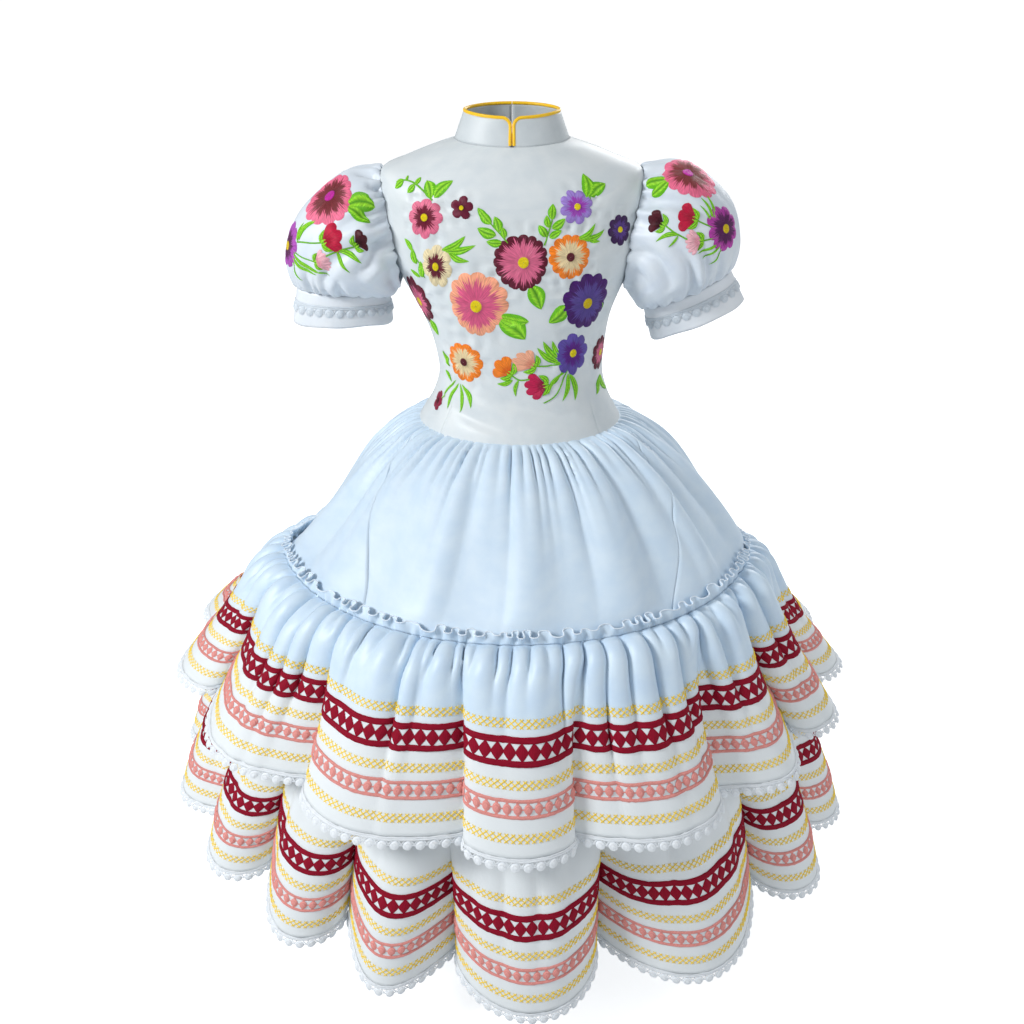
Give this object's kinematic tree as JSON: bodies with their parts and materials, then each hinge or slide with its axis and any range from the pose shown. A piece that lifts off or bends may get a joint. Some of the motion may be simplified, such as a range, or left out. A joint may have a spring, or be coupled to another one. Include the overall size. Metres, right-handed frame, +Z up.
{
  "type": "escaramuza dress",
  "caption": "Child's escaramuza dress with stand collar, puff sleeves, fitted dropped-waist bodice, gathered skirt and two banded ruffles.",
  "frame": {"origin": "middle of the neck, level with the collar seam, where the wearer's neck and shoulders carry the dress", "axes": "+Z up along the body, -Y towards the front of the dress, +X towards the wearer's left"},
  "size_m": [0.8525, 0.7824, 0.9028],
  "materials": {
    "satin_white": "ice-white satin with coloured thread embroidery",
    "satin_blue": "pale blue poly-satin",
    "red_braid": "dark red guipure band of diamonds between ribbed bars",
    "pink_braid": "pink guipure band of rosettes between rope bars",
    "yellow_cord": "yellow satin piping",
    "yellow_thread": "yellow cross-stitch thread",
    "embroidery_thread": "shiny machine embroidery thread in many colours",
    "lace": "white ball-fringe lace",
    "zip_tape": "white woven zip tape"
  },
  "bodies": {
    "root": {"bodice_front": "satin_white", "bodice_back_left": "satin_white", "bodice_back_right": "satin_white", "zip_back": "zip_tape", "collar_left": "satin_white", "collar_right": "satin_white", "piping_left": "yellow_cord", "piping_right": "yellow_cord", "sleeve_left": "satin_blue", "sleeve_right": "satin_blue", "cuff_left": "satin_white", "cuff_right": "satin_white", "cuff_lace_left": "lace", "cuff_lace_right": "lace", "skirt_front": "satin_blue", "skirt_side_left": "satin_blue", "skirt_side_right": "satin_blue", "skirt_back": "satin_blue", "ruffle_upper": "satin_blue", "band_red_upper": "red_braid", "band_pink_upper": "pink_braid", "lace_upper": "lace", "ruffle_lower": "satin_blue", "band_red_lower": "red_braid", "band_pink_lower": "pink_braid", "lace_lower": "lace"}
  },
  "joints": []
}
